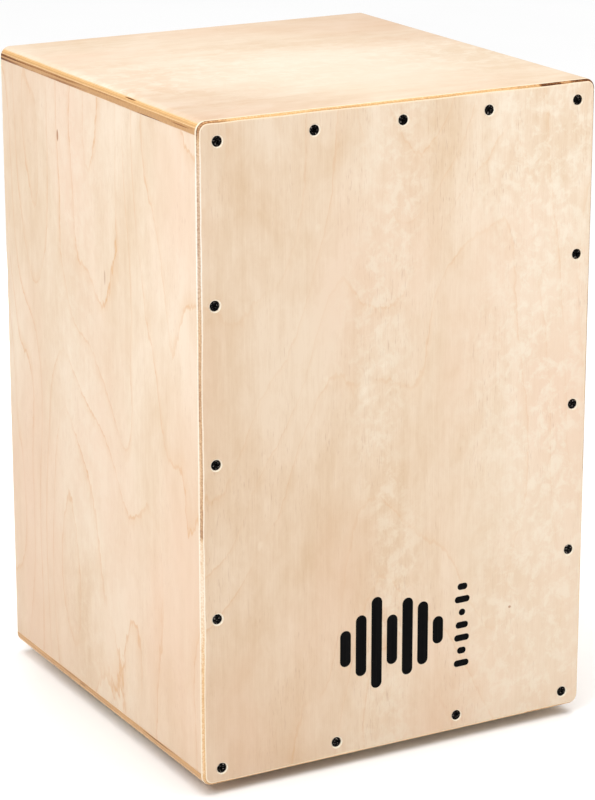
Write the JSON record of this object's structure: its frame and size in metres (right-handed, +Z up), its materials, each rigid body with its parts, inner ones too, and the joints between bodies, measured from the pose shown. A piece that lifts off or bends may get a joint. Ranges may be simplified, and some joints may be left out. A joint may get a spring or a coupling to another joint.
{
  "type": "cajon",
  "caption": "Plywood box drum played by hand while sitting on it, with a screwed playing face, a rear sound hole and a tilting snare bar inside.",
  "frame": {"origin": "on the floor, under the middle of the box", "axes": "+Z up towards the seat, -Y out of the playing face, +Y out of the sound hole"},
  "size_m": [0.3, 0.304, 0.458],
  "materials": {
    "face_plywood": "clear satin",
    "box_plywood": "clear satin",
    "batten_wood": "bare",
    "black_screw": "black phosphate",
    "black_rubber": "matte",
    "zinc_steel": "zinc plated",
    "plate_brass": "satin",
    "wire_steel": "bright"
  },
  "bodies": {
    "cabinet": {"playing_face": "face_plywood", "top_panel": "box_plywood", "bottom_panel": "box_plywood", "left_side_panel": "box_plywood", "right_side_panel": "box_plywood", "back_panel": "box_plywood", "front_top_batten": "batten_wood", "front_bottom_batten": "batten_wood", "front_left_batten": "batten_wood", "front_right_batten": "batten_wood", "rear_top_batten": "batten_wood", "rear_bottom_batten": "batten_wood", "rear_left_batten": "batten_wood", "rear_right_batten": "batten_wood", "face_screws": "black_screw", "front_left_foot": "black_rubber", "front_right_foot": "black_rubber", "rear_left_foot": "black_rubber", "rear_right_foot": "black_rubber", "foot_washers": "zinc_steel", "foot_screws": "zinc_steel", "left_snare_cleat": "batten_wood", "right_snare_cleat": "batten_wood", "left_friction_washer": "black_rubber", "right_friction_washer": "black_rubber"},
    "snare": {"snare_bar": "batten_wood", "left_pivot_pin": "zinc_steel", "right_pivot_pin": "zinc_steel", "left_end_plate": "plate_brass", "right_end_plate": "plate_brass", "left_snare_wires": "wire_steel", "right_snare_wires": "wire_steel", "end_plate_screws": "zinc_steel"}
  },
  "joints": [
    {"name": "snare_tilt", "type": "hinge", "parent": "cabinet", "child": "snare", "pos_m": [0, -0.122, 0.326], "axis": [-1, 0, 0], "range_deg": [0, 18]}
  ]
}
